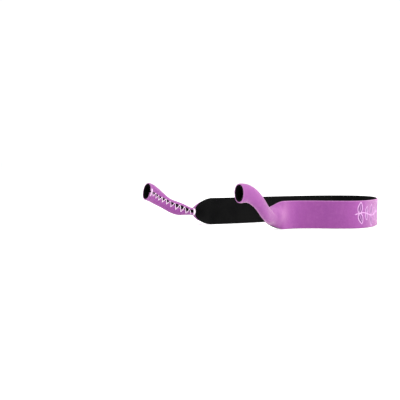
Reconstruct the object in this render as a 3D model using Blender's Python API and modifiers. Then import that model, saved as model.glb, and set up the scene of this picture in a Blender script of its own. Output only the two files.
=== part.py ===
"""Neoprene eyewear retainer strap: one laminated strip whose two ends are rolled and sewn into sleeves.

Frame: +Z up, the sleeve mouths face -Y, the loop that goes behind the head closes at +Y.
The wearer faces -Y, so the wearer's left is +X. The band stands on its lower edge at Z = 0.
The strip is followed by its route length, which is 0 half way along it, round the back of the loop,
positive towards the left sleeve and negative towards the right one.
"""

import math

import bpy
import numpy as np

MM = 0.001

# The laminate
BAND_WIDTH = 20.2 * MM
JERSEY = 0.3 * MM
CORE = 1.0 * MM
GLUE = 0.1 * MM
THICKNESS = 2 * JERSEY + CORE + 2 * GLUE
PLIES = {
    # name: (material, depth of its outer face below the strip's outer face, thickness)
    "outer_jersey": ("face", 0.0, JERSEY),
    "foam_core": ("core", JERSEY + GLUE, CORE),
    "lining": ("lining", JERSEY + CORE + 2 * GLUE, JERSEY),
}

# The loop's plan, seen from above: half an ellipse round the back, wider and skewed towards the left
LOOP_CENTRE = (3.5 * MM, 17.9 * MM)
LOOP_HALF_WIDTHS = {"left": 52.0 * MM, "right": 41.1 * MM}
LOOP_DEPTH = 74.7 * MM
LOOP_SKEW = 0.54
LOOP_KNOTS = 9

# Each side beyond the loop. "plan" is the waist, the neck, two places on the sleeve and the mouth, as
# distances to that side and along Y. Then how the strip climbs from the band to the temple, where it
# is sewn into a sleeve, how it opens out of it, how far the seam rolls round the sleeve in radians, and
# where the sleeve is fuller than a plain roll: the place from the mouth, the reach, and how much above
# and below.
SLEEVES = {
    "left": {
        "plan": (
            (29.5 * MM, -19.0 * MM),
            (37.9 * MM, -53.7 * MM),
            (45.2 * MM, -69.2 * MM),
            (47.9 * MM, -81.7 * MM),
            (48.8 * MM, -89.4 * MM),
        ),
        "rise": 17.2 * MM,
        "climb": 40.3 * MM,
        "level": 4.3 * MM,
        "seam": 42.6 * MM,
        "oval": 0.42,
        "open": 23.6 * MM,
        "power": 0.86,
        "roll": 0.0,
        "swells": (),
    },
    "right": {
        "plan": (
            (38.1 * MM, -20.2 * MM),
            (44.5 * MM, -53.3 * MM),
            (50.3 * MM, -69.9 * MM),
            (55.4 * MM, -84.9 * MM),
            (55.3 * MM, -95.0 * MM),
        ),
        "rise": 16.3 * MM,
        "climb": 41.4 * MM,
        "level": -4.4 * MM,
        "seam": 43.9 * MM,
        "oval": -0.37,
        "open": 17.7 * MM,
        "power": 0.44,
        "roll": -0.5,
        "swells": (
            (32.0 * MM, 12.0 * MM, 1.8 * MM, 0.0),
            (29.0 * MM, 11.0 * MM, 0.0, 0.8 * MM),
            (39.0 * MM, 9.0 * MM, 0.0, -0.8 * MM),
        ),
    },
}

# The rolled section
NECK_WIDTH = 19.6 * MM
MOUTH_WIDTH = 29.5 * MM
MOUTH_OVAL = 0.34
MOUTH_LENGTH = 8.0 * MM
ROLL_EASE = 15.0 * MM
MOUTH_STRAIGHT = 3.0 * MM
SLIT = 0.6 * MM
JERSEY_SETBACK = 0.7 * MM

# How the roll opens out, as shares of the opening's length, counted from the neck
OPEN_WIDENS = 0.33
OPEN_EASES = 0.5
OPEN_EASE = 0.35
OPEN_FLAT = 0.8

# Where the strap flexes, as distances along it
LOOP_FLEX = 74.0 * MM
NECK_FLEX_BEHIND = 24.0 * MM
TWIST_AHEAD = 3.0 * MM
FLEX_GAP = 0.4 * MM
TWIST_GAP = 0.15 * MM

# The seam thread
THREAD = 0.5 * MM
STITCH_WIDTH = 3.2 * MM
STITCH_PITCH = 4.2 * MM
FIRST_STITCH = 1.6 * MM
THREAD_CLEARANCE = 0.12 * MM
TACK = 0.8 * MM
MOUTH_TACK = 0.7 * MM
TACK_SPACE = 1.0 * MM
POINTS_PER_STITCH = 4

# Facets
BAND_STEP = 4.0 * MM
TUBE_STEP = 2.6 * MM
OPENING_STEP = 1.4 * MM
BAND_ROWS = 2
TUBE_ROWS = 16
ROUTE_SAMPLES = 3000
SECTION_SAMPLES = 129

COLOURS = {
    "face": ((0.40, 0.11, 0.40), 0.85),
    "core": ((0.012, 0.012, 0.013), 0.95),
    "lining": ((0.018, 0.018, 0.020), 0.90),
    "thread": ((0.86, 0.72, 0.85), 0.60),
}


def clear_scene():
    for found in list(bpy.data.objects):
        bpy.data.objects.remove(found, do_unlink=True)


def material(kind):
    made = bpy.data.materials.get(kind)
    if made:
        return made
    colour, roughness = COLOURS[kind]
    made = bpy.data.materials.new(kind)
    made.use_nodes = True
    shader = made.node_tree.nodes["Principled BSDF"]
    shader.inputs["Base Color"].default_value = (*colour, 1.0)
    shader.inputs["Roughness"].default_value = roughness
    shader.inputs["Metallic"].default_value = 0.0
    return made


def natural_spline(knots, samples):
    """A natural cubic spline through the knots, by chord length."""
    knots = np.array(knots, float)
    steps = np.linalg.norm(np.diff(knots, axis=0), axis=1)
    at = np.concatenate([[0.0], np.cumsum(steps)])
    count = len(knots)
    matrix = np.eye(count)
    right = np.zeros_like(knots)
    for i in range(1, count - 1):
        matrix[i, i - 1 : i + 2] = steps[i - 1], 2 * (steps[i - 1] + steps[i]), steps[i]
        slopes = (knots[i + 1] - knots[i]) / steps[i] - (knots[i] - knots[i - 1]) / steps[i - 1]
        right[i] = 6 * slopes
    bend = np.linalg.solve(matrix, right)
    t = np.linspace(0.0, at[-1], samples)
    i = np.clip(np.searchsorted(at, t, side="right") - 1, 0, count - 2)
    step = steps[i][:, None]
    a = (at[i + 1] - t)[:, None]
    b = (t - at[i])[:, None]
    cubic = (bend[i] * a**3 + bend[i + 1] * b**3) / (6 * step)
    line = (knots[i] / step - bend[i] * step / 6) * a + (knots[i + 1] / step - bend[i + 1] * step / 6) * b
    return cubic + line


def smooth(x):
    x = np.clip(x, 0.0, 1.0)
    return x * x * (3 - 2 * x)


def lengths(points):
    return np.concatenate([[0.0], np.cumsum(np.linalg.norm(np.diff(points, axis=0), axis=1))])


def make_route():
    """The strip's middle line: route length and points, from the right mouth to the left one."""
    knots = [(-x, y) for x, y in reversed(SLEEVES["right"]["plan"])]
    for turned in np.linspace(-math.pi / 2, math.pi / 2, LOOP_KNOTS):
        across = LOOP_HALF_WIDTHS["left" if turned > 0 else "right"] * math.sin(turned)
        deep = (LOOP_DEPTH - LOOP_SKEW * across) * math.cos(turned)
        knots.append((LOOP_CENTRE[0] + across, LOOP_CENTRE[1] + deep))
    knots += SLEEVES["left"]["plan"]
    plan = natural_spline(knots, ROUTE_SAMPLES)
    along = lengths(plan)
    height = np.full(len(plan), BAND_WIDTH / 2)
    for side, from_mouth in (("left", along[-1] - along), ("right", along)):
        sleeve = SLEEVES[side]
        height = height + sleeve["rise"] * smooth(1 - (from_mouth - sleeve["level"]) / sleeve["climb"])
    points = np.column_stack([plan, height])
    along = lengths(points)
    return along - along[-1] / 2, points


ROUTE_AT, ROUTE = make_route()
ENDS = {"left": ROUTE_AT[-1], "right": -ROUTE_AT[0]}


def frames(at):
    """Points on the route, with the forward, outward and upward directions there."""
    tangents = np.gradient(ROUTE, ROUTE_AT, axis=0)
    point = np.column_stack([np.interp(at, ROUTE_AT, ROUTE[:, i]) for i in range(3)])
    forward = np.column_stack([np.interp(at, ROUTE_AT, tangents[:, i]) for i in range(3)])
    forward /= np.linalg.norm(forward, axis=1)[:, None]
    outward = np.column_stack([-forward[:, 1], forward[:, 0], np.zeros(len(at))])
    outward /= np.linalg.norm(outward, axis=1)[:, None]
    return point, forward, outward, np.cross(forward, outward)


def section_values(at):
    """At a route length: the strip's width, how far it is rolled up (0 to 1) and how oval the roll is."""
    side = "left" if at > 0 else "right"
    sleeve = SLEEVES[side]
    from_mouth = ENDS[side] - abs(at)
    behind = (from_mouth - sleeve["seam"]) / sleeve["open"]
    if behind >= 1:
        return BAND_WIDTH, 0.0, 0.0
    if behind > 0:
        width = NECK_WIDTH + (BAND_WIDTH - NECK_WIDTH) * smooth(behind / OPEN_WIDENS)
        rolled = 1 - behind ** sleeve["power"]
        rolled *= 1 - OPEN_EASE * smooth((behind - OPEN_EASES) / (1 - OPEN_EASES))
        rolled *= 1 - smooth((behind - OPEN_FLAT) / (1 - OPEN_FLAT))
        width -= THICKNESS * math.sin(math.pi * rolled)
        return width, rolled, sleeve["oval"] * rolled**2
    tapered = max(from_mouth - MOUTH_STRAIGHT, 0.0) / (sleeve["seam"] - MOUTH_STRAIGHT)
    width = NECK_WIDTH + (MOUTH_WIDTH - NECK_WIDTH) * (1 - tapered) ** 2
    to_mouth = smooth(1 - (from_mouth - MOUTH_LENGTH) / (sleeve["seam"] - MOUTH_LENGTH))
    return width, 1.0, sleeve["oval"] + (MOUTH_OVAL - sleeve["oval"]) * to_mouth


def swelling(at, high):
    """How much fuller the section is than a plain roll, above and below its middle."""
    side = "left" if at > 0 else "right"
    upper = (high - high.min()) / np.ptp(high)
    total = np.zeros(len(high))
    for centre, reach, above, below in SLEEVES[side]["swells"]:
        away = (ENDS[side] - abs(at) - centre) / reach
        total += max(1 - away**2, 0) ** 2 * (above * upper - below * (1 - upper))
    return total


def rolled_over(at, high, deep, turn):
    """The section turned about its own middle, which winds the seam round the sleeve."""
    side = "left" if at > 0 else "right"
    sleeve = SLEEVES[side]
    from_mouth = ENDS[side] - abs(at)
    roll = sleeve["roll"] * smooth((sleeve["seam"] - from_mouth) / ROLL_EASE)
    roll *= smooth((from_mouth - MOUTH_LENGTH) / ROLL_EASE)
    middle_high = (high.min() + high.max()) / 2
    middle_deep = (deep.min() + deep.max()) / 2
    off_high, off_deep = high - middle_high, deep - middle_deep
    high = middle_high + off_high * math.cos(roll) - off_deep * math.sin(roll)
    deep = middle_deep + off_high * math.sin(roll) + off_deep * math.cos(roll)
    return high, deep, turn + roll


def section(at, wanted):
    """The strip's cross-section at a route length, at the wanted distances from its middle line.

    Gives the height above the middle line, the depth towards the wearer and the angle turned.
    The turn grows evenly along a round roll; the sine term flattens its sides into an oval.
    """
    width, rolled, oval = section_values(at)
    around = width + SLIT
    w = np.linspace(-0.5, 0.5, SECTION_SAMPLES) * around
    turn = 2 * math.pi * rolled * w / around - oval * np.sin(4 * math.pi * w / around)
    high = np.zeros(SECTION_SAMPLES)
    deep = np.zeros(SECTION_SAMPLES)
    for total, rate in ((high, np.cos(turn)), (deep, np.sin(turn))):
        total[1:] = np.cumsum((rate[1:] + rate[:-1]) / 2 * np.diff(w))
        total -= total[SECTION_SAMPLES // 2]
    high += swelling(at, high)
    high, deep, turn = rolled_over(at, high, deep, turn)
    return [np.interp(wanted, w, values) for values in (high, deep, turn)]


def sheet(start, end, step, rows, offset=0.0, setback=0.0):
    """The strip from start to end as a grid of points, moved off its middle surface by offset."""
    count = max(2, int(round((end - start) / step)) + 1)
    at = np.linspace(start, end, count)
    point, _, outward, up = frames(at)
    grid = np.zeros((count, rows + 1, 3))
    for i, here in enumerate(at):
        width, rolled, _ = section_values(here)
        wanted = np.linspace(-0.5, 0.5, rows + 1) * width
        wanted[[0, -1]] += setback * rolled, -setback * rolled
        high, deep, _ = section(here, wanted)
        grid[i] = point[i] + high[:, None] * up[i] - deep[:, None] * outward[i]
    normal = np.cross(np.gradient(grid, axis=1), np.gradient(grid, axis=0))
    normal /= np.linalg.norm(normal, axis=2)[:, :, None]
    return grid + normal * offset


def grid_mesh(name, grid):
    """An open sheet of quads over a grid of points, its faces pointing to the strip's outer side."""
    rows = grid.shape[1]
    faces = []
    for i in range(grid.shape[0] - 1):
        for j in range(rows - 1):
            corner = i * rows + j
            faces.append((corner, corner + 1, corner + rows + 1, corner + rows))
    mesh = bpy.data.meshes.new(name)
    mesh.from_pydata(grid.reshape(-1, 3).tolist(), [], faces)
    mesh.shade_smooth()
    return mesh


def add_ply(collection, body, ply, start, end, step, rows, setback):
    """One layer of the laminate over one stretch of the strip."""
    kind, depth, thickness = PLIES[ply]
    if ply != "outer_jersey":
        setback = 0.0
    grid = sheet(start, end, step, rows, THICKNESS / 2 - depth, setback)
    name = f"{body}_{ply}"
    made = bpy.data.objects.new(name, grid_mesh(name, grid))
    made.data.materials.append(material(kind))
    solid = made.modifiers.new("thickness", "SOLIDIFY")
    solid.thickness = thickness
    solid.offset = -1.0
    collection.objects.link(made)
    return made


def add_thread(collection, name, points, radius):
    """A length of sewing thread through the points."""
    curve = bpy.data.curves.new(name, "CURVE")
    curve.dimensions = "3D"
    curve.bevel_depth = radius
    curve.bevel_resolution = 2
    curve.use_fill_caps = True
    spline = curve.splines.new("POLY")
    spline.points.add(len(points) - 1)
    for knot, place in zip(spline.points, points):
        knot.co = (*place, 1.0)
    curve.materials.append(material("thread"))
    made = bpy.data.objects.new(name, curve)
    collection.objects.link(made)
    return made


def beside_seam(at, across, clear):
    """A point just off the sleeve's outer face, at a distance across from the middle of the seam."""
    point, _, outward, up = frames(np.array([at]))
    half_way_round = (section_values(at)[0] + SLIT) / 2
    wanted = half_way_round - across if across >= 0 else -half_way_round - across
    high, deep, turn = section(at, [wanted])
    normal = math.cos(turn[0]) * outward[0] + math.sin(turn[0]) * up[0]
    return point[0] + high[0] * up[0] - deep[0] * outward[0] + (THICKNESS / 2 + clear) * normal


def seam_points(side, start, end):
    """The zigzag of the butt seam, between two distances behind the mouth."""
    sign = 1 if side == "left" else -1
    stitches = int(round((end - start) / (STITCH_PITCH / 2)))
    points = []
    for i in range(stitches * POINTS_PER_STITCH + 1):
        turn, part = divmod(i, POINTS_PER_STITCH)
        part /= POINTS_PER_STITCH
        across = STITCH_WIDTH / 2 * (1 - 2 * part) * (1 if turn % 2 == 0 else -1)
        behind = start + (end - start) * i / (stitches * POINTS_PER_STITCH)
        points.append(beside_seam(sign * (ENDS[side] - behind), across, THREAD / 2 + THREAD_CLEARANCE))
    return points


def tack_points(side, behind):
    """A bar of thread straight across the seam, which locks its end."""
    sign = 1 if side == "left" else -1
    at = sign * (ENDS[side] - behind)
    reach = np.linspace(1.0, -1.0, 2 * POINTS_PER_STITCH + 1) * (STITCH_WIDTH / 2 + TACK / 2)
    return [beside_seam(at, across, TACK / 2 + THREAD_CLEARANCE) for across in reach]


def main():
    clear_scene()
    parts = bpy.data.collections.new("eyewear_retainer_strap")
    bpy.context.scene.collection.children.link(parts)
    back = LOOP_FLEX - FLEX_GAP
    for ply in PLIES:
        add_ply(parts, "rear_loop", ply, -back, back, BAND_STEP, BAND_ROWS, 0.0)
    for side, sign in (("left", 1), ("right", -1)):
        mouth = ENDS[side]
        twist = mouth - SLEEVES[side]["seam"] + TWIST_AHEAD
        flex = mouth - SLEEVES[side]["seam"] - NECK_FLEX_BEHIND
        stretches = (
            ("run", LOOP_FLEX + FLEX_GAP, flex - FLEX_GAP, BAND_STEP, BAND_ROWS, 0.0),
            ("neck", flex + FLEX_GAP, twist - TWIST_GAP, OPENING_STEP, TUBE_ROWS, JERSEY_SETBACK),
            ("sleeve", twist + TWIST_GAP, mouth, TUBE_STEP, TUBE_ROWS, JERSEY_SETBACK),
        )
        for body, near, far, step, rows, setback in stretches:
            start, end = (near, far) if sign > 0 else (-far, -near)
            for ply in PLIES:
                add_ply(parts, f"{side}_{body}", ply, start, end, step, rows, setback)
        last_stitch = SLEEVES[side]["seam"] - TWIST_AHEAD - TACK_SPACE
        neck_tack = SLEEVES[side]["seam"] - TWIST_AHEAD / 2
        add_thread(parts, f"{side}_seam_thread", seam_points(side, FIRST_STITCH, last_stitch), THREAD / 2)
        add_thread(parts, f"{side}_mouth_tack", tack_points(side, MOUTH_TACK), TACK / 2)
        add_thread(parts, f"{side}_neck_tack", tack_points(side, neck_tack), TACK / 2)


main()
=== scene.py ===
"""The looks of a neoprene eyewear retainer strap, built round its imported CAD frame.

Frame: metres, +Z up, the sleeve mouths face -Y, the loop closes at +Y, the wearer's left is +X.
The strap is one laminated strip. A place on it is given by its route length, which is 0 half way along it
and positive towards the left mouth, and by its distance across, positive towards the upper edge.
"""

import math

import bmesh
import bpy
import numpy as np
from mathutils import Matrix, Vector


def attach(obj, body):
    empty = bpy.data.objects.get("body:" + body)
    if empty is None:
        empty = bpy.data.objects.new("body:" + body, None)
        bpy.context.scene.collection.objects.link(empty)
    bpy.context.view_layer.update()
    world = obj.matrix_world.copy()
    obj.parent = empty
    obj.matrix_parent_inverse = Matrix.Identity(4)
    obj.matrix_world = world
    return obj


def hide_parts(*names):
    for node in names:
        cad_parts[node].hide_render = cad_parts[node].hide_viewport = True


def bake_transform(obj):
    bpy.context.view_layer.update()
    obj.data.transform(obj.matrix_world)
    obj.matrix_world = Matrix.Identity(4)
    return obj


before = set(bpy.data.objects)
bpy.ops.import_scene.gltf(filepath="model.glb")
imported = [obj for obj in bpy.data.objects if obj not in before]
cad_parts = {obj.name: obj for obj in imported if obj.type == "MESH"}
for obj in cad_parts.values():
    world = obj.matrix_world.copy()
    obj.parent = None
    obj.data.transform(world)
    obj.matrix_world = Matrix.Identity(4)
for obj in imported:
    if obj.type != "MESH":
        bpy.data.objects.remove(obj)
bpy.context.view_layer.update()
MM = 0.001

# The strip's driving sizes and its route, as the CAD model has them
BAND_WIDTH = 20.2 * MM
THICKNESS = 1.8 * MM

# The loop's plan, seen from above: half an ellipse round the back, wider and skewed towards the left
LOOP_CENTRE = (3.5 * MM, 17.9 * MM)
LOOP_HALF_WIDTHS = {"left": 52.0 * MM, "right": 41.1 * MM}
LOOP_DEPTH = 74.7 * MM
LOOP_SKEW = 0.54
LOOP_KNOTS = 9

# Each side beyond the loop. "plan" is the waist, the neck, two places on the sleeve and the mouth, as
# distances to that side and along Y. Then how the strip climbs from the band to the temple, where it
# is sewn into a sleeve, how it opens out of it, how far the seam rolls round the sleeve in radians, and
# where the sleeve is fuller than a plain roll: the place from the mouth, the reach, and how much above
# and below.
SLEEVES = {
    "left": {
        "plan": (
            (29.5 * MM, -19.0 * MM),
            (37.9 * MM, -53.7 * MM),
            (45.2 * MM, -69.2 * MM),
            (47.9 * MM, -81.7 * MM),
            (48.8 * MM, -89.4 * MM),
        ),
        "rise": 17.2 * MM,
        "climb": 40.3 * MM,
        "level": 4.3 * MM,
        "seam": 42.6 * MM,
        "oval": 0.42,
        "open": 23.6 * MM,
        "power": 0.86,
        "roll": 0.0,
        "swells": (),
    },
    "right": {
        "plan": (
            (38.1 * MM, -20.2 * MM),
            (44.5 * MM, -53.3 * MM),
            (50.3 * MM, -69.9 * MM),
            (55.4 * MM, -84.9 * MM),
            (55.3 * MM, -95.0 * MM),
        ),
        "rise": 16.3 * MM,
        "climb": 41.4 * MM,
        "level": -4.4 * MM,
        "seam": 43.9 * MM,
        "oval": -0.37,
        "open": 17.7 * MM,
        "power": 0.44,
        "roll": -0.5,
        "swells": (
            (32.0 * MM, 12.0 * MM, 1.8 * MM, 0.0),
            (29.0 * MM, 11.0 * MM, 0.0, 0.8 * MM),
            (39.0 * MM, 9.0 * MM, 0.0, -0.8 * MM),
        ),
    },
}

# Both sleeves: the strip's width at the neck and at the mouth, the mouth's shape, the length over which the
# seam starts or stops rolling round, and the slit between the edges that butt
NECK_WIDTH = 19.6 * MM
MOUTH_WIDTH = 29.5 * MM
MOUTH_OVAL = 0.34
MOUTH_LENGTH = 8.0 * MM
MOUTH_STRAIGHT = 3.0 * MM
ROLL_EASE = 15.0 * MM
SLIT = 0.6 * MM

# How the strip opens out of a sleeve, as shares of the side's "open": where it has its full width, where it
# starts to open faster and by how much, and where it starts to lie flat
OPEN_WIDENS = 0.33
OPEN_EASES = 0.5
OPEN_EASE = 0.35
OPEN_FLAT = 0.8

# The joints: the loop's from the middle of the strip, the other two from the seam's end
LOOP_FLEX = 74.0 * MM
NECK_FLEX_BEHIND = 24.0 * MM
TWIST_AHEAD = 3.0 * MM

ROUTE_SAMPLES = 3000
SECTION_SAMPLES = 129

# How far each side of a joint the strap bends, and how finely each stretch of it is meshed
TWIST_SPAN = 11.0 * MM
NECK_SPAN = 11.0 * MM
LOOP_SPAN = 17.0 * MM
STEPS = {"sleeve": 0.6 * MM, "neck": 0.7 * MM, "run": 1.2 * MM, "rear": 1.2 * MM}
EDGE_COLUMNS = np.array([0.0, 0.08, 0.2, 0.35, 0.55, 0.8, 1.1, 1.4, 1.7, 2.1, 2.6, 3.3, 4.2]) * MM
RIM_ROWS = 9
MIDDLE_COLUMNS = 14
END_POINTS = 3
SHARP_EDGE = math.radians(50)

# The laminate: its knits' thickness, how its outer and inner faces roll over a cut edge (width and drop, and
# the share of the drop that the lining's own face takes), how the cut edges bulge, how far the foam reaches
# into the slit, and how it stands up where it is bare
KNIT = 0.3 * MM
GLUE = 0.02 * MM
OUTER_SHOULDER = (0.7 * MM, 0.45 * MM)
INNER_SHOULDER = (0.6 * MM, 0.28 * MM)
LINING_FOLLOWS = 0.9
KNIT_BULGE = 0.03 * MM
FOAM_BULGE = 0.14 * MM
FOAM_MEETS = 0.30 * MM
BARE_FOAM_RISE = 0.27 * MM

# Each knit's wale and course, how far its Vs slant, and how high its loops stand on their wales
JERSEY_KNIT = (0.55 * MM, 0.8 * MM)
LINING_KNIT = (0.6 * MM, 0.9 * MM)
KNIT_SLANT = 1.2
KNIT_LOOP = 0.35

# How far the jersey stops short of the butt seam, and what share of that the thread pulls together
SETBACK_AT_MOUTH = 0.35 * MM
SETBACK_AT_NECK = 1.0 * MM
SETBACK_FADES = 2.5
SCALLOP = 0.6

# A handled strip's unevenness. Each wave has a height, a sine's rates along and across with its phase, and
# a cosine's rates along and across
RIPPLES = (
    (0.16 * MM, (95.0, 0.0, 0.7), (21.0, 120.0)),
    (0.07 * MM, (310.0, 140.0, 1.9), (-60.0, 260.0)),
)

# Where the band turns into the neck. Places are distances beyond the sleeve seam's end and across the strip:
# a crease between two ends, a filled-out area below it, and an area where a highlight is painted into the
# jersey's colour
CREASE_ENDS = ((3.0 * MM, 5.5 * MM), (-15.0 * MM, -1.0 * MM))
CREASE_STARTS = 3.0
CREASE_STOPS = 1.5
CREASE_DEPTH = 0.35 * MM
CREASE_WIDTH = 1.5 * MM
FULLNESS_PLACE = (-17.0 * MM, -1.5 * MM)
FULLNESS_REACH = (6.0 * MM, 5.0 * MM)
FULLNESS = 0.9 * MM
NECK_HIGHLIGHT_PLACE = (-22.0 * MM, 1.5 * MM)
NECK_HIGHLIGHT_REACH = (5.5 * MM, 6.5 * MM)

# The seam's thread, its needle holes, and the tacks. MOUTH_TACK and NECK_TACK are how far the tack starts
# behind the mouth and behind the twist joint, its length and its number of passes
THREAD = 0.45 * MM
STITCH_WIDTH = 3.2 * MM
STITCH_PITCH = 4.2 * MM
STITCH_SHIFT = -0.9 * MM
FIRST_STITCH = 1.6 * MM
LAST_STITCH = 3.2 * MM
POINTS_PER_STITCH = 22
STITCH_ARCH = 0.42
HOLE_SINK = 0.3 * MM
DIMPLE_DEPTH = 0.26 * MM
DIMPLE_SPREAD = 0.375 * MM
DIMPLE_ENDS = 1.5 * MM
STRANDS = 3
STRAND_TWIST = 1.6 * MM
STRAND_LOBE = 0.14
THREAD_SIDES = 12
TACK_THREAD = 0.42 * MM
TACK_REACH = 2.6 * MM
TACK_POINTS = 10
TACK_FLATNESS = 6
MOUTH_TACK = (0.5 * MM, 0.9 * MM, 5)
NECK_TACK = (1.2 * MM, 1.3 * MM, 7)

# The printed sprig: a plain leafy stem on both sides of the loop, drawn from its foot towards the back
SPRIG_FOOT = 98.0 * MM
SPRIG_LENGTH = 59.5 * MM
STEM_WAVE = 1.2 * MM
STEM_PERIOD = 31.0 * MM
LEAF_FROM = 3.5 * MM
PAIR_SPACING = 8.4 * MM
LEAF_SIZE = ((8.4 * MM, 4.6 * MM), (5.2 * MM, 3.4 * MM))
LEAF_LEAN = math.radians(72)
LEAF_BEND = 0.45
LEAF_TIP = 0.12 * MM
LEAF_POINTS = 19
LEAF_FULLEST = 0.85
LEAF_BLUNTNESS = 0.8
MIDRIB = slice(2, -6)
SLOPE_SHARE = 0.5
TIP_LEAN = 0.2
STEM_POINTS = 120
INK_WIDTH = 0.85 * MM
INK_SINK = 0.06 * MM
STEM_LIFT = 0.075 * MM
LEAF_LIFT = 0.06 * MM
FILL_LIFT = 0.03 * MM

# Across a line and across a leaf's fill: places as shares of the half width, and the ink's height there as a
# share of its lift. None is an edge that is sunk into the jersey
LINE_DOME = ((-1, None), (-0.75, 0.8), (0, 1), (0.75, 0.8), (1, None))
FILL_DOME = tuple((reach, 1 if abs(reach) < 1 else None) for reach in np.linspace(-1, 1, 7))


def natural_spline(knots, samples):
    """A natural cubic spline through the knots, by chord length."""
    knots = np.array(knots, float)
    steps = np.linalg.norm(np.diff(knots, axis=0), axis=1)
    at = np.concatenate([[0.0], np.cumsum(steps)])
    count = len(knots)
    matrix = np.eye(count)
    right = np.zeros_like(knots)
    for i in range(1, count - 1):
        matrix[i, i - 1 : i + 2] = steps[i - 1], 2 * (steps[i - 1] + steps[i]), steps[i]
        slopes = (knots[i + 1] - knots[i]) / steps[i] - (knots[i] - knots[i - 1]) / steps[i - 1]
        right[i] = 6 * slopes
    bend = np.linalg.solve(matrix, right)
    t = np.linspace(0.0, at[-1], samples)
    i = np.clip(np.searchsorted(at, t, side="right") - 1, 0, count - 2)
    step = steps[i][:, None]
    a = (at[i + 1] - t)[:, None]
    b = (t - at[i])[:, None]
    cubic = (bend[i] * a**3 + bend[i + 1] * b**3) / (6 * step)
    line = (knots[i] / step - bend[i] * step / 6) * a + (knots[i + 1] / step - bend[i + 1] * step / 6) * b
    return cubic + line


def smooth(x):
    x = np.clip(x, 0.0, 1.0)
    return x * x * (3 - 2 * x)


def lengths(points):
    return np.concatenate([[0.0], np.cumsum(np.linalg.norm(np.diff(points, axis=0), axis=1))])


def make_route():
    """The strip's middle line: route length and points, from the right mouth to the left one."""
    knots = [(-x, y) for x, y in reversed(SLEEVES["right"]["plan"])]
    for turned in np.linspace(-math.pi / 2, math.pi / 2, LOOP_KNOTS):
        across = LOOP_HALF_WIDTHS["left" if turned > 0 else "right"] * math.sin(turned)
        deep = (LOOP_DEPTH - LOOP_SKEW * across) * math.cos(turned)
        knots.append((LOOP_CENTRE[0] + across, LOOP_CENTRE[1] + deep))
    knots += SLEEVES["left"]["plan"]
    plan = natural_spline(knots, ROUTE_SAMPLES)
    along = lengths(plan)
    height = np.full(len(plan), BAND_WIDTH / 2)
    for side, from_mouth in (("left", along[-1] - along), ("right", along)):
        sleeve = SLEEVES[side]
        height = height + sleeve["rise"] * smooth(1 - (from_mouth - sleeve["level"]) / sleeve["climb"])
    points = np.column_stack([plan, height])
    along = lengths(points)
    return along - along[-1] / 2, points


ROUTE_AT, ROUTE = make_route()
ENDS = {"left": ROUTE_AT[-1], "right": -ROUTE_AT[0]}
SIGNS = {"left": 1, "right": -1}


def frames(at):
    """Points on the route, with the forward, outward and upward directions there."""
    tangents = np.gradient(ROUTE, ROUTE_AT, axis=0)
    point = np.column_stack([np.interp(at, ROUTE_AT, ROUTE[:, i]) for i in range(3)])
    forward = np.column_stack([np.interp(at, ROUTE_AT, tangents[:, i]) for i in range(3)])
    forward /= np.linalg.norm(forward, axis=1)[:, None]
    outward = np.column_stack([-forward[:, 1], forward[:, 0], np.zeros(len(at))])
    outward /= np.linalg.norm(outward, axis=1)[:, None]
    return point, forward, outward, np.cross(forward, outward)


def side_of(at):
    """The side that a route length is on, and how far it is from that side's mouth."""
    side = "left" if at > 0 else "right"
    return side, ENDS[side] - abs(at)


def section_values(at):
    """At a route length: the strip's width, how far it is rolled up (0 to 1) and how oval the roll is."""
    side, from_mouth = side_of(at)
    sleeve = SLEEVES[side]
    behind = (from_mouth - sleeve["seam"]) / sleeve["open"]
    if behind >= 1:
        return BAND_WIDTH, 0.0, 0.0
    if behind > 0:
        width = NECK_WIDTH + (BAND_WIDTH - NECK_WIDTH) * smooth(behind / OPEN_WIDENS)
        rolled = 1 - behind ** sleeve["power"]
        rolled *= 1 - OPEN_EASE * smooth((behind - OPEN_EASES) / (1 - OPEN_EASES))
        rolled *= 1 - smooth((behind - OPEN_FLAT) / (1 - OPEN_FLAT))
        width -= THICKNESS * math.sin(math.pi * rolled)
        return width, rolled, sleeve["oval"] * rolled**2
    tapered = max(from_mouth - MOUTH_STRAIGHT, 0.0) / (sleeve["seam"] - MOUTH_STRAIGHT)
    width = NECK_WIDTH + (MOUTH_WIDTH - NECK_WIDTH) * (1 - tapered) ** 2
    to_mouth = smooth(1 - (from_mouth - MOUTH_LENGTH) / (sleeve["seam"] - MOUTH_LENGTH))
    return width, 1.0, sleeve["oval"] + (MOUTH_OVAL - sleeve["oval"]) * to_mouth


def swelling(at, high):
    """How much fuller the section is than a plain roll, above and below its middle."""
    side, from_mouth = side_of(at)
    upper = (high - high.min()) / np.ptp(high)
    total = np.zeros(len(high))
    for centre, reach, above, below in SLEEVES[side]["swells"]:
        away = (from_mouth - centre) / reach
        total += max(1 - away**2, 0) ** 2 * (above * upper - below * (1 - upper))
    return total


def rolled_over(at, high, deep):
    """The section turned about its own middle, which winds the seam round the sleeve."""
    side, from_mouth = side_of(at)
    sleeve = SLEEVES[side]
    roll = sleeve["roll"] * smooth((sleeve["seam"] - from_mouth) / ROLL_EASE)
    roll *= smooth((from_mouth - MOUTH_LENGTH) / ROLL_EASE)
    middle_high = (high.min() + high.max()) / 2
    middle_deep = (deep.min() + deep.max()) / 2
    off_high, off_deep = high - middle_high, deep - middle_deep
    high = middle_high + off_high * math.cos(roll) - off_deep * math.sin(roll)
    deep = middle_deep + off_high * math.sin(roll) + off_deep * math.cos(roll)
    return high, deep


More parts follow.
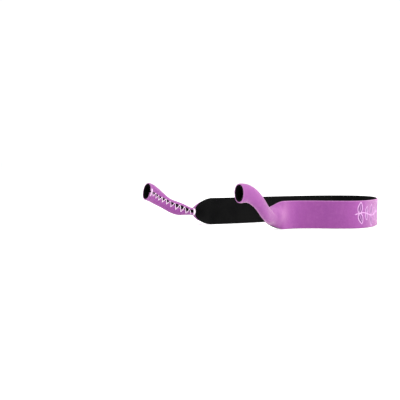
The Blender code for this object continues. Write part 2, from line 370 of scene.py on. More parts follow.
def section(at):
    """The strip's cross-section at a route length: distance across, height, depth towards the wearer."""
    width, rolled, oval = section_values(at)
    around = width + SLIT
    across = np.linspace(-0.5, 0.5, SECTION_SAMPLES) * around
    turn = 2 * math.pi * rolled * across / around - oval * np.sin(4 * math.pi * across / around)
    high = np.zeros(SECTION_SAMPLES)
    deep = np.zeros(SECTION_SAMPLES)
    for total, rate in ((high, np.cos(turn)), (deep, np.sin(turn))):
        total[1:] = np.cumsum((rate[1:] + rate[:-1]) / 2 * np.diff(across))
        total -= total[SECTION_SAMPLES // 2]
    high += swelling(at, high)
    high, deep = rolled_over(at, high, deep)
    return across, high, deep


# ---------------------------------------------------------------- the strip's surface, as a fine grid


def neck_flex(side):
    """How far along the strip the side's neck bends."""
    return ENDS[side] - SLEEVES[side]["seam"] - NECK_FLEX_BEHIND


def twist(side):
    """How far along the strip the side's sleeve twists."""
    return ENDS[side] - SLEEVES[side]["seam"] + TWIST_AHEAD


def cuts(side):
    """Where the side's pieces meet: rear and run, run and neck, neck and sleeve, and the mouth."""
    run_end = (LOOP_FLEX + neck_flex(side)) / 2
    neck_end = (neck_flex(side) + twist(side)) / 2
    return LOOP_FLEX / 2, run_end, neck_end, ENDS[side]


def make_rows():
    """The route length of every row of the grid, and each piece's first and last row."""
    stretches = []
    for side in ("right", "left"):
        rear, run, neck, mouth = cuts(side)
        found = [("run", rear, run), ("neck", run, neck), ("sleeve", neck, mouth)]
        if side == "right":
            found = [(kind, -far, -near) for kind, near, far in reversed(found)]
        stretches += [(f"{side}_{kind}", kind, near, far) for kind, near, far in found]
    stretches.insert(3, ("rear", "rear", -LOOP_FLEX / 2, LOOP_FLEX / 2))
    at, spans = [stretches[0][2]], {}
    for name, kind, near, far in stretches:
        count = int(round((far - near) / STEPS[kind]))
        rows = np.linspace(near, far, count + 1)
        if kind == "sleeve":
            rim = EDGE_COLUMNS[1:RIM_ROWS]
            keep = rows[(rows > near) & (rows < far)]
            mouth = near if near < 0 else far
            keep = keep[np.abs(keep - mouth) > rim[-1] + STEPS[kind] / 2]
            rows = np.sort(np.concatenate([[near, far], keep, mouth - np.sign(mouth) * rim]))
        spans[name] = (len(at) - 1, len(at) - 1 + len(rows) - 1)
        at += list(rows[1:])
    return np.array(at), spans


def ripple(at, across):
    """The slight unevenness of a soft strip that has been handled, as a shift along its normal."""
    total = 0.0
    for height, (sine_along, sine_across, phase), (cosine_along, cosine_across) in RIPPLES:
        wave = np.sin(at * sine_along + across * sine_across + phase)
        total = total + height * wave * np.cos(at * cosine_along + across * cosine_across)
    return total


def beyond_seam(at, side):
    """How far places lie past the side's seam end, towards its mouth, and whether they are on that side."""
    along = SIGNS[side] * at
    return along - (ENDS[side] - SLEEVES[side]["seam"]), along > 0


def hump(beyond, across, place, reach):
    """A smooth hump, 1 high, at a place on the strip."""
    beyond_share = (beyond - place[0]) / reach[0]
    across_share = (across - place[1]) / reach[1]
    return np.exp(-(beyond_share**2) - across_share**2)


def turn_relief(at, across):
    """The crease and the fullness where the band turns into the neck, as a shift along the normal."""
    total = np.zeros(np.broadcast(at, across).shape)
    (start, high), (end, low) = CREASE_ENDS
    run, drop = end - start, low - high
    for side in SIGNS:
        beyond, here = beyond_seam(at, side)
        part = ((beyond - start) * run + (across - high) * drop) / (run**2 + drop**2)
        away = ((beyond - start) * drop - (across - high) * run) / math.hypot(run, drop)
        crease = smooth(part * CREASE_STARTS) * smooth((1 - part) * CREASE_STOPS)
        crease = crease * np.exp(-((away / CREASE_WIDTH) ** 2))
        fullness = hump(beyond, across, FULLNESS_PLACE, FULLNESS_REACH)
        total += (FULLNESS * fullness - CREASE_DEPTH * crease) * here
    return total


def make_grid():
    """The strip's middle surface: points and outward normals on every row, at even distances across."""
    point, _, outward, up = frames(AT)
    middle = np.zeros((len(AT), SECTION_SAMPLES, 3))
    wide = np.zeros((len(AT), SECTION_SAMPLES))
    for i, here in enumerate(AT):
        across, high, deep = section(here)
        middle[i] = point[i] + high[:, None] * up[i] - deep[:, None] * outward[i]
        wide[i] = across
    normal = np.cross(np.gradient(middle, axis=1), np.gradient(middle, AT, axis=0))
    normal /= np.linalg.norm(normal, axis=2)[:, :, None]
    shift = ripple(AT[:, None], wide) + turn_relief(AT[:, None], wide)
    return wide, middle + normal * shift[:, :, None], normal


AT, SPANS = make_rows()
WIDE, MIDDLE, NORMAL = make_grid()
VALUES = np.array([section_values(here) for here in AT])


def place(row, across, depth):
    """Points on one row of the strip, at these distances across and depths below the outer face."""
    point = np.column_stack([np.interp(across, WIDE[row], MIDDLE[row, :, i]) for i in range(3)])
    normal = np.column_stack([np.interp(across, WIDE[row], NORMAL[row, :, i]) for i in range(3)])
    normal /= np.linalg.norm(normal, axis=1)[:, None]
    return point + normal * (THICKNESS / 2 - np.broadcast_to(depth, (len(across),)))[:, None]


def place_at(at, across, lift):
    """A point on the strip between rows, lifted off its outer face."""
    row = int(np.clip(np.searchsorted(AT, at) - 1, 0, len(AT) - 2))
    part = (at - AT[row]) / (AT[row + 1] - AT[row])
    both = [place(r, np.array([across]), -lift)[0] for r in (row, row + 1)]
    return both[0] * (1 - part) + both[1] * part


# ---------------------------------------------------------------- meshes


def new_piece(name, points, faces, attributes=None):
    """A smooth mesh object, whose attributes are one number or one vector for each point."""
    mesh = bpy.data.meshes.new(name)
    mesh.from_pydata(np.asarray(points).tolist(), [], faces)
    for key, values in (attributes or {}).items():
        kind, slot = ("FLOAT", "value") if np.ndim(values) == 1 else ("FLOAT_VECTOR", "vector")
        made = mesh.attributes.new(key, kind, "POINT")
        made.data.foreach_set(slot, np.asarray(values, np.float32).ravel())
    mesh.validate()
    mesh.shade_smooth()
    piece = bpy.data.objects.new(name, mesh)
    bpy.context.scene.collection.objects.link(piece)
    return piece


def ring_quads(rows, ring, closed=False):
    """Quads between rows of closed rings, and from the last row to the first if the rows close too."""
    faces = []
    for i in range(rows if closed else rows - 1):
        after = (i + 1) % rows
        for j in range(ring):
            k = (j + 1) % ring
            faces.append((i * ring + j, i * ring + k, after * ring + k, after * ring + j))
    return faces


def ring_faces(rows, ring):
    """The quads between rows of closed rings, with one face over each end."""
    last = (rows - 1) * ring
    return [*ring_quads(rows, ring), tuple(reversed(range(ring))), tuple(last + j for j in range(ring))]


def shoulder(from_edge, sizes):
    """How far a face drops where it rolls over a cut edge: a quarter of an ellipse."""
    width, drop = sizes
    left = np.clip(1 - from_edge / width, 0, 1)
    return drop * (1 - np.sqrt(1 - left**2))


def setback(row):
    """How far the jersey stops short of the foam's edge along the butt seam.

    The gap widens towards the neck, and the thread pulls it together at every upper needle hole.
    """
    side, from_mouth = side_of(AT[row])
    to_neck = smooth(from_mouth / SLEEVES[side]["seam"])
    wide = SETBACK_AT_MOUTH + (SETBACK_AT_NECK - SETBACK_AT_MOUTH) * to_neck
    pulled = (1 + math.cos(2 * math.pi * (from_mouth - FIRST_STITCH) / stitch_pitch(side))) / 2
    closed = VALUES[row, 1]
    if closed < 1:
        pulled = 0.0
    return wide * (1 - SCALLOP * pulled) * smooth(closed * SETBACK_FADES)


def seam_passes(side):
    """How many passes of the zigzag fit the seam, and the stretch of seam that they take."""
    length = SLEEVES[side]["seam"] - LAST_STITCH - FIRST_STITCH
    return round(2 * length / STITCH_PITCH), length


def stitch_pitch(side):
    """The length of one V of the zigzag, which is two passes."""
    passes, length = seam_passes(side)
    return 2 * length / passes


def holes(side):
    """Every needle hole of the side's seam: route length and distance from the seam, negative below it."""
    passes, _ = seam_passes(side)
    found = []
    for i in range(passes + 1):
        behind = FIRST_STITCH + stitch_pitch(side) / 2 * i
        beside = STITCH_SHIFT + STITCH_WIDTH / 2 * (1 if i % 2 == 0 else -1)
        found.append((SIGNS[side] * (ENDS[side] - behind), beside))
    return found


HOLES = {side: holes(side) for side in SLEEVES}


def dimples(row, across):
    """How far the thread pulls the jersey in round the needle holes."""
    at = AT[row]
    side, _ = side_of(at)
    half = (VALUES[row, 0] + SLIT) / 2
    beside = np.where(across > 0, half - across, -half - across)
    total = np.zeros(len(across))
    if VALUES[row, 1] < 1:
        return total
    for hole_at, hole_beside in HOLES[side]:
        if abs(hole_at - at) < DIMPLE_ENDS:
            far = (hole_at - at) ** 2 + (hole_beside - beside) ** 2
            total += DIMPLE_DEPTH * np.exp(-far / (2 * DIMPLE_SPREAD**2))
    return total


def columns(width, inset):
    """Distances across at which a face has points, close together near its edges, and how far each is in."""
    edge = EDGE_COLUMNS
    half = width / 2 - inset
    inner = np.linspace(-(half - edge[-1]), half - edge[-1], MIDDLE_COLUMNS + 2)[1:-1]
    across = np.concatenate([-half + edge, inner, half - edge[::-1]])
    return across, np.minimum(half - across, half + across)


def ply_faces(ply, row, across):
    """How deep a ply's outer and inner faces lie on one row, and how far its cut edges bulge."""
    width, rolled, _ = VALUES[row]
    _, from_mouth = side_of(AT[row])
    jersey_edge = np.minimum(width / 2 - setback(row) - np.abs(across), from_mouth)
    lining_edge = np.minimum(width / 2 - np.abs(across), from_mouth)
    top = shoulder(np.maximum(jersey_edge, 0), OUTER_SHOULDER) + dimples(row, across)
    foot = shoulder(np.maximum(lining_edge, 0), INNER_SHOULDER)
    if ply == "jersey":
        return top, top + KNIT, KNIT_BULGE
    foam_foot = THICKNESS - KNIT - foot
    if ply == "lining":
        return foam_foot + GLUE, THICKNESS - foot * LINING_FOLLOWS, KNIT_BULGE
    bare = np.clip(-jersey_edge / (setback(row) + 1e-6), 0, 1)
    foam_top = top + KNIT + GLUE - smooth(bare) * BARE_FOAM_RISE
    return foam_top, foam_foot, FOAM_BULGE * (1 - rolled)


def ply_rings(ply, first, last):
    """One ply of the strip between two rows: closed rings of points, the strip place and edge distance."""
    angles = (np.arange(END_POINTS) + 1) * math.pi / (END_POINTS + 1)
    share = (1 - np.cos(angles)) / 2
    rings, strip, edges = [], [], []
    for row in range(first, last + 1):
        width, rolled, _ = VALUES[row]
        _, from_mouth = side_of(AT[row])
        across, from_edge = columns(width, setback(row) if ply == "jersey" else -FOAM_MEETS * rolled)
        outer, inner, bulge = ply_faces(ply, row, across)
        out = np.sin(angles) * bulge
        upper = place(row, across[-1] + out, outer[-1] + (inner[-1] - outer[-1]) * share)
        lower = place(row, across[0] - out[::-1], outer[0] + (inner[0] - outer[0]) * share[::-1])
        top, foot = place(row, across, outer), place(row, across, inner)
        rings.append(np.concatenate([top, upper, foot[::-1], lower]))
        wide = np.concatenate([across, across[-1] + out, across[::-1], across[0] - out[::-1]])
        strip.append(np.column_stack([np.full(len(wide), AT[row]), wide, np.zeros(len(wide))]))
        near = np.minimum(from_edge, from_mouth)
        edges.append(np.concatenate([near, out * 0, near[::-1], out * 0]))
    return np.array(rings), np.concatenate(strip), np.concatenate(edges)


def cap_faces(rows, ring, count):
    """Closes both ends of a ply: quads from its outer face to its inner one, and a fan at each edge."""
    faces = []
    high = list(range(count - 1, count + END_POINTS + 1))
    low = [*range(2 * count + END_POINTS - 1, ring), 0]
    for base, order in ((0, 1), ((rows - 1) * ring, -1)):
        for j in range(count - 1):
            across = count + END_POINTS + (count - 1 - j)
            quad = (base + j, base + across, base + across - 1, base + j + 1)
            faces.append(quad[::order])
        for rim in (high, low):
            faces.append(tuple(base + n for n in reversed(rim))[::order])
    return faces


def neck_highlight_share(strip):
    """How strongly a highlight is painted into the jersey over the turn into the neck."""
    total = np.zeros(len(strip))
    for side in SIGNS:
        beyond, here = beyond_seam(strip[:, 0], side)
        total += hump(beyond, strip[:, 1], NECK_HIGHLIGHT_PLACE, NECK_HIGHLIGHT_REACH) * here
    return total


def build_ply(piece_name, ply, first, last):
    """The piece of one ply between two rows, with its place on the strip kept for the materials."""
    rings, strip, edges = ply_rings(ply, first, last)
    rows, ring = rings.shape[:2]
    faces = ring_quads(rows, ring) + cap_faces(rows, ring, len(EDGE_COLUMNS) * 2 + MIDDLE_COLUMNS)
    attributes = {"strip": strip, "edge": edges, "neck_highlight": neck_highlight_share(strip)}
    piece = new_piece(piece_name, rings.reshape(-1, 3), faces, attributes)
    piece.data.set_sharp_from_angle(angle=SHARP_EDGE)
    return piece


# ---------------------------------------------------------------- materials


class Nodes:
    """Short calls for building one material's nodes."""

    def __init__(self, name):
        self.material = bpy.data.materials.new(name)
        self.material.use_nodes = True
        self.tree = self.material.node_tree
        self.shader = self.tree.nodes["Principled BSDF"]

    def add(self, kind, values=None, **settings):
        node = self.tree.nodes.new(kind)
        for key, value in settings.items():
            setattr(node, key, value)
        for key, value in (values or {}).items():
            self.feed(node.inputs[key], value)
        return node

    def feed(self, socket, value):
        if isinstance(value, bpy.types.NodeSocket):
            self.tree.links.new(value, socket)
        else:
            socket.default_value = value

    def math(self, operation, a, b=0.0):
        return self.add("ShaderNodeMath", {0: a, 1: b}, operation=operation).outputs[0]

    def times(self, value, factor, plus=0.0):
        product = self.math("MULTIPLY", value, factor)
        return self.math("ADD", product, plus) if plus else product

    def attribute(self, name, output="Fac"):
        return self.add("ShaderNodeAttribute", attribute_name=name).outputs[output]

    def tinted(self, base, tint, value, low, high, strength):
        """The base colour, tinted by up to the strength where the value passes from low to high."""
        return self.mix(self.times(self.ramp(value, low, high), strength), base, tint)

    def mix(self, share, a, b):
        """A colour between two colours."""
        node = self.add("ShaderNodeMix", {"Factor": share}, data_type="RGBA")
        self.feed(node.inputs[6], a)
        self.feed(node.inputs[7], b)
        return node.outputs[2]

    def ramp(self, value, low, high):
        """0 below low and 1 above high, smooth between them."""
        node = self.add("ShaderNodeMapRange", {"Value": value, "From Min": low, "From Max": high})
        node.interpolation_type = "SMOOTHSTEP"
        return node.outputs["Result"]

    def noise(self, vector, scale, detail=2.0, roughness=0.5):
        values = {"Vector": vector, "Scale": scale, "Detail": detail, "Roughness": roughness}
        return self.add("ShaderNodeTexNoise", values).outputs["Fac"]

    def bump(self, height, distance, strength=1.0, after=None):
        values = {"Height": height, "Distance": distance, "Strength": strength}
        if after:
            values["Normal"] = after
        return self.add("ShaderNodeBump", values).outputs["Normal"]

    def set(self, **values):
        for key, value in values.items():
            self.feed(self.shader.inputs[key.replace("_", " ")], value)


def colour(red, green, blue):
    return (red, green, blue, 1.0)


def strip_place(nodes):
    """The place on the strip, and its two parts: route length and distance across."""
    vector = nodes.attribute("strip", "Vector")
    parts = nodes.add("ShaderNodeSeparateXYZ", {"Vector": vector})
    return vector, parts.outputs["X"], parts.outputs["Y"]


def knit_height(nodes, along, across, size):
    """A jersey knit's height: rows of V stitches that run along the strip, a wale wide and a course long."""
    wale, course = size
    from_middle = nodes.math("SUBTRACT", nodes.math("FRACT", nodes.times(across, 1 / wale)), 0.5)
    from_middle = nodes.math("ABSOLUTE", from_middle)
    phase = nodes.math("ADD", nodes.times(along, 1 / course), nodes.times(from_middle, KNIT_SLANT))
    loop = nodes.math("SINE", nodes.times(phase, 2 * math.pi))
    squared = nodes.math("MULTIPLY", from_middle, from_middle)
    crown = nodes.math("SUBTRACT", 1.0, nodes.times(squared, 4.0))
    return nodes.math("ADD", nodes.times(loop, KNIT_LOOP), crown)


def jersey_material():
    """The face: mottled purple, with a painted highlight along its cut edges and over the turn into the
    neck, and painted shade between wales.
    """
    nodes = Nodes("outer_jersey_knit")
    vector, along, across = strip_place(nodes)
    patches = nodes.noise(vector, 55.0, 2.0)
    mottle = nodes.noise(vector, 330.0, 3.0, 0.6)
    specks = nodes.noise(vector, 1900.0, 2.0, 0.7)
    knit = knit_height(nodes, along, across, JERSEY_KNIT)
    base = nodes.mix(nodes.ramp(patches, 0.3, 0.7), colour(0.224, 0.047, 0.228), colour(0.248, 0.055, 0.246))
    base = nodes.tinted(base, colour(0.330, 0.098, 0.305), mottle, 0.42, 0.72, 0.2)
    base = nodes.tinted(base, colour(0.130, 0.022, 0.145), specks, 0.5, 0.72, 0.3)
    # painted highlight: a paler line along the jersey's cut edges, where they catch the light
    edge_highlight = nodes.math("SUBTRACT", 1.0, nodes.ramp(nodes.attribute("edge"), 0.1 * MM, 0.75 * MM))
    base = nodes.mix(nodes.times(edge_highlight, 0.4), base, colour(0.480, 0.210, 0.440))
    # painted highlight: the jersey is paler over the turn into the neck
    base = nodes.mix(nodes.times(nodes.attribute("neck_highlight"), 0.38), base, colour(0.420, 0.170, 0.370))
    # painted shade: the knit is darker in the hollows between its wales
    base = nodes.tinted(base, colour(0.120, 0.020, 0.135), knit, 0.35, -0.2, 0.35)
    relief = nodes.bump(knit, 0.06 * MM)
    relief = nodes.bump(mottle, 0.25 * MM, 0.6, relief)
    relief = nodes.bump(specks, 0.05 * MM, 0.8, relief)
    nodes.set(Base_Color=base, Roughness=nodes.times(specks, 0.25, 0.62), Normal=relief)
    nodes.set(Sheen_Weight=0.5, Sheen_Roughness=0.38, Sheen_Tint=colour(1.0, 0.76, 0.82))
    nodes.set(Specular_IOR_Level=0.25)
    return nodes.material


def lining_material():
    """The inner face: a coarser black knit."""
    nodes = Nodes("lining_knit")
    vector, along, across = strip_place(nodes)
    patches = nodes.noise(vector, 90.0, 2.0)
    specks = nodes.noise(vector, 1700.0, 2.0, 0.7)
    knit = knit_height(nodes, along, across, LINING_KNIT)
    share = nodes.ramp(patches, 0.3, 0.7)
    base = nodes.mix(share, colour(0.0022, 0.0022, 0.0024), colour(0.0036, 0.0036, 0.0036))
    base = nodes.tinted(base, colour(0.008, 0.008, 0.0085), specks, 0.55, 0.75, 0.5)
    relief = nodes.bump(knit, 0.07 * MM)
    relief = nodes.bump(specks, 0.05 * MM, 0.8, relief)
    nodes.set(Base_Color=base, Roughness=nodes.times(specks, 0.2, 0.7), Normal=relief)
    nodes.set(Sheen_Weight=0.008, Sheen_Roughness=0.5, Specular_IOR_Level=0.03)
    return nodes.material


def foam_material():
    """The cut foam: tiny cells with paler walls."""
    nodes = Nodes("foam_cells")
    place_in_space = nodes.add("ShaderNodeTexCoord").outputs["Object"]
    cells = nodes.add("ShaderNodeTexVoronoi", {"Vector": place_in_space, "Scale": 4200.0})
    cells = cells.outputs["Distance"]
    lumps = nodes.noise(place_in_space, 900.0, 2.0)
    walls = nodes.ramp(cells, 0.25, 0.75)
    base = nodes.mix(walls, colour(0.0008, 0.0008, 0.0009), colour(0.0030, 0.0029, 0.0031))
    relief = nodes.bump(nodes.math("ADD", cells, lumps), 0.12 * MM)
    nodes.set(Base_Color=base, Roughness=nodes.times(walls, -0.1, 0.95), Normal=relief)
    nodes.set(Specular_IOR_Level=0.03)
    return nodes.material


def thread_material():
    """Spun thread, from white to the palest tint of the face."""
    nodes = Nodes("spun_thread")
    place_in_space = nodes.add("ShaderNodeTexCoord").outputs["Object"]
    fibres = nodes.noise(place_in_space, 3500.0, 2.0, 0.7)
    dye = nodes.noise(place_in_space, 260.0, 1.0)
    base = nodes.mix(nodes.ramp(dye, 0.35, 0.65), colour(0.60, 0.43, 0.58), colour(0.74, 0.63, 0.72))
    base = nodes.tinted(base, colour(0.38, 0.24, 0.38), fibres, 0.5, 0.3, 0.4)
    relief = nodes.bump(fibres, 0.05 * MM)
    nodes.set(Base_Color=base, Roughness=nodes.times(fibres, 0.3, 0.45), Normal=relief)
    nodes.set(Sheen_Weight=0.3, Sheen_Roughness=0.4, Specular_IOR_Level=0.4)
    return nodes.material


def ink_material(name, fresh, faded, worn_share):
    """Screen-printed ink: a thin rubbery layer with pinholes and a little of it worn off."""
    nodes = Nodes(name)
    vector, along, across = strip_place(nodes)
    pinholes = nodes.noise(vector, 2600.0, 2.0, 0.6)
    rubbed = nodes.noise(vector, 420.0, 3.0, 0.6)
    base = nodes.mix(nodes.ramp(rubbed, 0.35, 0.65), fresh, faded)
    base = nodes.tinted(base, UNDER_INK, pinholes, 0.56, 0.7, worn_share)
    relief = nodes.bump(knit_height(nodes, along, across, JERSEY_KNIT), 0.03 * MM)
    relief = nodes.bump(pinholes, 0.03 * MM, 0.7, relief)
    roughness = nodes.times(rubbed, 0.3, 0.4)
    nodes.set(Base_Color=base, Roughness=roughness, Normal=relief, Specular_IOR_Level=0.35)
    return nodes.material


JERSEY_LOOK = jersey_material()
LINING_LOOK = lining_material()
FOAM_LOOK = foam_material()
THREAD_LOOK = thread_material()
UNDER_INK = colour(0.220, 0.048, 0.220)
PALE_INK = ink_material("pale_ink", colour(0.55, 0.31, 0.55), colour(0.44, 0.22, 0.44), 0.4)
DARK_INK = ink_material("dark_ink", colour(0.120, 0.022, 0.135), colour(0.155, 0.030, 0.165), 0.3)

# Each ply's name ending, which ends its pieces' names and the names of the CAD nodes that they replace, and
# its look
PLIES = {
    "jersey": ("outer_jersey", JERSEY_LOOK),
    "foam": ("foam_core", FOAM_LOOK),
    "lining": ("lining", LINING_LOOK),
}


# ---------------------------------------------------------------- where pieces go: the rear ones with the rear loop's body, the rest baked in place


def route_point(at):
    """The point on the route at one route length."""
    return Vector(frames(np.array([at]))[0][0])


for side_name, sign in SIGNS.items():
    for kind, bodies, middle, span in (
        ("run", ("rear_loop", f"{side_name}_run"), LOOP_FLEX, LOOP_SPAN),
        ("neck", (f"{side_name}_run", f"{side_name}_neck"), neck_flex(side_name), NECK_SPAN),
        ("sleeve", (f"{side_name}_neck", f"{side_name}_sleeve"), twist(side_name), TWIST_SPAN),
    ):
        ends = [route_point(sign * (middle + reach)) for reach in (-span, span)]


def follow(piece, stretch):
    """Parents a rear piece to the rear loop's body; any other piece only has its transform baked into its
    mesh.
    """
    if stretch == "rear":
        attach(piece, "rear_loop")
        return
    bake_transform(piece)


def finish_piece(piece, look, stretch, slot, *nodes):
    """Gives a piece its look, places it by its stretch (see follow), and hides the CAD nodes that it
    replaces. The slot is not used.
    """
    piece.data.materials.append(look)
    follow(piece, stretch)
    if nodes:
        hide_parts(*nodes)


for stretch, (first, last) in SPANS.items():
    body = "rear_loop" if stretch == "rear" else stretch
    for ply, (ending, look) in PLIES.items():
        made = build_ply(f"{stretch}_{ending}_fine", ply, first, last)
        finish_piece(made, look, stretch, ending, f"{body}_{ending}")


# ---------------------------------------------------------------- the seam's thread


def beside_seam(at, beside, lift):
    """A point by the sleeve's butt seam, lifted off its outer face. Beside is negative below the seam."""
    half = (np.interp(at, AT, VALUES[:, 0]) + SLIT) / 2
    across = half - beside if beside >= 0 else -half - beside
    return place_at(at, across, lift)


def strand(name, points, thickness):
    """A thread along a line of points: its ring has a lobe for each plied strand, and turns as it goes."""
    points = np.asarray(points)
    turns = lengths(points) / STRAND_TWIST * 2 * math.pi / STRANDS
    tangents = np.gradient(points, axis=0)
    tangents /= np.linalg.norm(tangents, axis=1)[:, None]
    side = np.cross(tangents[0], [0.0, 0.0, 1.0])
    angle = np.arange(THREAD_SIDES) * 2 * math.pi / THREAD_SIDES
    rings = []
    for point, tangent, turned in zip(points, tangents, turns):
        side = side - tangent * (side @ tangent)
        side /= np.linalg.norm(side)
        around = np.cos(angle)[:, None] * side + np.sin(angle)[:, None] * np.cross(tangent, side)
        radius = thickness / 2 * (1 + STRAND_LOBE * np.cos(STRANDS * (angle - turned)))
        rings.append(point + radius[:, None] * around)
    return new_piece(name, np.concatenate(rings), ring_faces(len(points), THREAD_SIDES))


def seam_thread(side):
    """The zigzag: from hole to hole, each pass arches over the jersey and dives at its ends."""
    found = HOLES[side]
    points = []
    for (at, beside), (next_at, next_beside) in zip(found, found[1:]):
        for part in np.arange(POINTS_PER_STITCH) / POINTS_PER_STITCH:
            lift = -HOLE_SINK + (HOLE_SINK + THREAD * STITCH_ARCH) * math.sqrt(math.sin(math.pi * part))
            here = at + (next_at - at) * part
            points.append(beside_seam(here, beside + (next_beside - beside) * part, lift))
    points.append(beside_seam(*found[-1], -HOLE_SINK))
    return strand(f"{side}_seam_stitches", points, THREAD)


def tack(side, name, behind, length, passes):
    """A bar tack: close zigzag passes across the seam that lock its end."""
    points = []
    for i in range(passes):
        for part in np.linspace(0, 1, TACK_POINTS, endpoint=i == passes - 1):
            reach = (1 - 2 * part) * (1 if i % 2 == 0 else -1)
            at = SIGNS[side] * (ENDS[side] - behind - length * (i + part) / passes)
            lift = TACK_THREAD / 2 - HOLE_SINK * abs(reach) ** TACK_FLATNESS
            points.append(beside_seam(at, TACK_REACH * reach + STITCH_SHIFT / 2, lift))
    return strand(name, points, TACK_THREAD)


def add_tacks(side):
    """A tack at the mouth and one at the neck, where the sleeve ends."""
    neck = SLEEVES[side]["seam"] - TWIST_AHEAD
    for end, start, sizes in (("mouth", 0.0, MOUTH_TACK), ("neck", neck, NECK_TACK)):
        behind, length, passes = sizes
        made = tack(side, f"{side}_{end}_bar_tack", start + behind, length, passes)
        finish_piece(made, THREAD_LOOK, f"{side}_sleeve", "thread", f"{side}_{end}_tack")


for side_name in SIGNS:
    made = seam_thread(side_name)
    finish_piece(made, THREAD_LOOK, f"{side_name}_sleeve", "thread", f"{side_name}_seam_thread")
    add_tacks(side_name)


# ---------------------------------------------------------------- the printed sprig


def on_strip(at, across, lift):
    """Many points on the strip at once, lifted off its outer face."""
    row = np.clip(np.searchsorted(AT, at) - 1, 0, len(AT) - 2)
    part = (at - AT[row]) / (AT[row + 1] - AT[row])
    total = np.zeros((len(at), 3))
    for near, share in ((row, 1 - part), (row + 1, part)):
        column = (across - WIDE[near, 0]) / (WIDE[near, 1] - WIDE[near, 0])
        low = np.clip(column.astype(int), 0, SECTION_SAMPLES - 2)
        over = (column - low)[:, None]
        middle = MIDDLE[near, low] * (1 - over) + MIDDLE[near, low + 1] * over
        normal = NORMAL[near, low] * (1 - over) + NORMAL[near, low + 1] * over
        total += share[:, None] * (middle + normal * (THICKNESS / 2 + lift)[:, None])
    return total


def left_of(points, closed=False):
    """Unit directions to the left of a flat line of points."""
    if closed:
        ahead = np.roll(points, -1, axis=0) - np.roll(points, 1, axis=0)
    else:
        ahead = np.gradient(points, axis=0)
    ahead /= np.linalg.norm(ahead, axis=1)[:, None]
    return np.column_stack([-ahead[:, 1], ahead[:, 0]])


class Print:
    """Collects closed bodies of ink, drawn in distances from the sprig's foot and across the strip."""

    def __init__(self, side):
        self.side = side
        self.places = []
        self.faces = []
        self.count = 0

    def dome(self, axis, half_widths, lift, profile, closed=False):
        """A low dome along a line. Its edges, where the profile has no height, and its back are sunk."""
        beside = left_of(axis, closed) * np.broadcast_to(half_widths, len(axis))[:, None]
        rings = []
        for reach, height in (*profile, (0, None)):
            depth = -INK_SINK if reach else -2 * INK_SINK
            heights = np.full(len(axis), depth if height is None else lift * height)
            rings.append(np.column_stack([axis + beside * reach, heights]))
        rings = np.stack(rings, axis=1)
        rows, ring = rings.shape[:2]
        faces = ring_quads(rows, ring, closed=True) if closed else ring_faces(rows, ring)
        self.faces += [[self.count + n for n in face] for face in faces]
        self.places.append(rings.reshape(-1, 3))
        self.count += rows * ring

    def line(self, points, width, lift, closed=False):
        """A drawn line, open or closed."""
        self.dome(points, width / 2, lift, LINE_DOME, closed)

    def fill(self, axis, half_widths, lift):
        """A filled shape about its axis."""
        self.dome(axis, half_widths, lift, FILL_DOME)

    def piece(self, name, look):
        """Lays what was drawn on the strip, as one piece."""
        places = np.concatenate(self.places)
        at = SIGNS[self.side] * (SPRIG_FOOT - places[:, 0])
        strip = np.column_stack([at, places[:, 1], np.zeros(len(at))])
        made = new_piece(name, on_strip(at, places[:, 1], places[:, 2]), self.faces, {"strip": strip})
        mesh = bmesh.new()
        mesh.from_mesh(made.data)
        bmesh.ops.recalc_face_normals(mesh, faces=mesh.faces)
        mesh.to_mesh(made.data)
        mesh.free()
        made.data.shade_smooth()
        finish_piece(made, look, f"{self.side}_run", "outer_jersey")


def stem(distance):
    """The stem's wave, as distances from its foot and across the strip."""
    return np.column_stack([distance, STEM_WAVE * np.sin(2 * math.pi * distance / STEM_PERIOD)])


def leaf(foot, direction, size):
    """A leaf's curved midrib and its half width along it."""
    length, width = size
    part = (1 - np.cos(np.linspace(0, math.pi, LEAF_POINTS))) / 2
    bend = direction + LEAF_BEND * (part - 0.5) * math.copysign(1, direction)
    step = np.column_stack([np.cos(bend), np.sin(bend)]) * (np.diff(part, prepend=0) * length)[:, None]
    half = width / 2 * np.sin(math.pi * part**LEAF_FULLEST) ** LEAF_BLUNTNESS
    return foot + np.cumsum(step, axis=0), np.maximum(half, LEAF_TIP)


def draw_leaf(pale, dark, axis, half):
    """A leaf's pale outline and its dark fill."""
    beside = left_of(axis) * half[:, None]
    pale.line(np.concatenate([axis + beside, (axis - beside)[::-1]]), INK_WIDTH, LEAF_LIFT, closed=True)
    dark.fill(axis, half, FILL_LIFT)


def sprig(side):
    """The stem, its pairs of leaves, large and small in turn, and the leaf at its tip."""
    pale, dark = Print(side), Print(side)
    pale.line(stem(np.linspace(0, SPRIG_LENGTH, STEM_POINTS)), INK_WIDTH, STEM_LIFT)
    pairs = int((SPRIG_LENGTH - LEAF_FROM) / PAIR_SPACING) + 1
    for pair in range(pairs):
        foot, ahead = stem(LEAF_FROM + pair * PAIR_SPACING + np.array([0, MM]))
        slope = math.atan2(*(ahead - foot)[::-1])
        for away in (1, -1):
            axis, half = leaf(foot, slope * SLOPE_SHARE + away * LEAF_LEAN, LEAF_SIZE[pair % 2])
            draw_leaf(pale, dark, axis, half)
            pale.line(axis[MIDRIB], INK_WIDTH / 2, LEAF_LIFT)
    draw_leaf(pale, dark, *leaf(stem(np.array([SPRIG_LENGTH]))[0], TIP_LEAN, LEAF_SIZE[0]))
    pale.piece(f"{side}_print_outline", PALE_INK)
    dark.piece(f"{side}_print_fill", DARK_INK)


for side_name in SIGNS:
    sprig(side_name)


# ---------------------------------------------------------------- floor, light and camera

CAMERA_PLACE = (0.5066, -0.5061, 0.0490)
CAMERA_AZIMUTH = 50.34
CAMERA_DOWN = 2.42
CAMERA_ROLL = 0.275
CAMERA_LENS = 83.9
LIGHTS_FACE = (0.0, 0.0, 0.015)
FLOOR_REACH = 12.0
FLOOR_DROP = 0.2 * MM


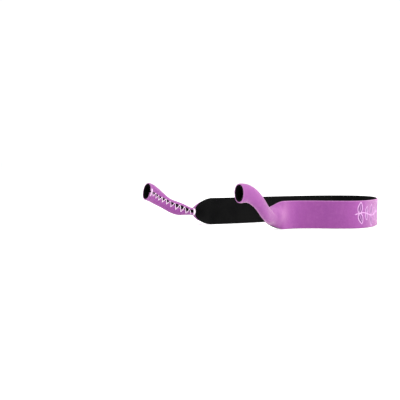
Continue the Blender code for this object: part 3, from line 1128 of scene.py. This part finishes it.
def add_camera():
    data = bpy.data.cameras.new("camera")
    data.lens = CAMERA_LENS
    data.sensor_width = 36.0
    data.clip_start = 0.01
    data.clip_end = 100.0
    camera = bpy.data.objects.new("camera", data)
    bpy.context.scene.collection.objects.link(camera)
    turn = Matrix.Rotation(math.radians(CAMERA_AZIMUTH), 4, "Z")
    tilt = Matrix.Rotation(math.radians(90 - CAMERA_DOWN), 4, "X")
    roll = Matrix.Rotation(math.radians(CAMERA_ROLL), 4, "Z")
    camera.matrix_world = Matrix.Translation(CAMERA_PLACE) @ turn @ tilt @ roll
    bpy.context.scene.camera = camera


def add_light(name, where, size, power):
    """An area light, in metres and watts, that faces the middle of the strap."""
    data = bpy.data.lights.new(name, "AREA")
    data.shape = "RECTANGLE"
    data.size, data.size_y = size
    data.energy = power
    light = bpy.data.objects.new(name, data)
    bpy.context.scene.collection.objects.link(light)
    light.location = where
    aim = Vector(LIGHTS_FACE) - Vector(where)
    light.rotation_mode = "QUATERNION"
    light.rotation_quaternion = aim.to_track_quat("-Z", "Y")
    light.visible_camera = False


def add_floor():
    """A plain pale sheet just below the strap's lower edge, wide enough to fill every view."""
    mesh = bpy.data.meshes.new("floor")
    signs = ((-1, -1), (1, -1), (1, 1), (-1, 1))
    mesh.from_pydata([(FLOOR_REACH * x, FLOOR_REACH * y, 0.0) for x, y in signs], [], [(0, 1, 2, 3)])
    floor = bpy.data.objects.new("floor", mesh)
    bpy.context.scene.collection.objects.link(floor)
    nodes = Nodes("floor_paper")
    nodes.set(Base_Color=colour(0.95, 0.95, 0.95), Roughness=0.9, Specular_IOR_Level=0.0)
    floor.data.materials.append(nodes.material)
    floor.location.z = -FLOOR_DROP


def add_world():
    world = bpy.data.worlds.new("studio")
    bpy.context.scene.world = world
    world.use_nodes = True
    background = world.node_tree.nodes["Background"]
    background.inputs["Color"].default_value = colour(1.0, 1.0, 1.0)
    background.inputs["Strength"].default_value = 1.06
    bpy.context.scene.view_settings.view_transform = "Standard"


add_camera()
add_world()
add_floor()
add_light("key_from_the_back_right", (0.9, 0.7, 0.6), (0.7, 0.7), 14.0)
add_light("top", (0.1, -0.1, 1.2), (1.0, 1.0), 10.0)
